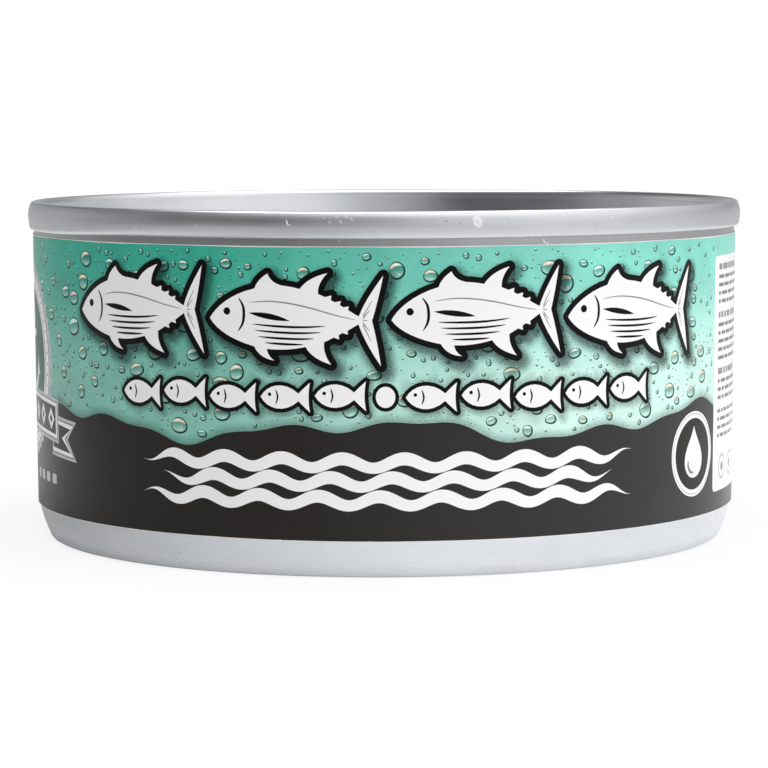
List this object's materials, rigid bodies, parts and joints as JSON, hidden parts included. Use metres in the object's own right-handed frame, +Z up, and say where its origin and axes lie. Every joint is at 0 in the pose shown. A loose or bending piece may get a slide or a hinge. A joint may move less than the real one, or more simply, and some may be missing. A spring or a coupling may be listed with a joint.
{
  "type": "tuna can",
  "caption": "Low round fish can, shut: drawn metal body, seamed end with a rolled rim and a recess for stacking, and a printed paper label wrapped round the wall.",
  "frame": {"origin": "middle of the base, on the surface the can stands on", "axes": "+Z up along the can's axis; the middle of the label's front faces -Y"},
  "size_m": [0.0874, 0.0874, 0.0408],
  "materials": {
    "body_plate": "satin",
    "end_plate": "satin",
    "label_paper": "coated, semi-gloss"
  },
  "bodies": {
    "root": {"can_body": "body_plate", "lid": "end_plate", "label": "label_paper"}
  },
  "joints": []
}
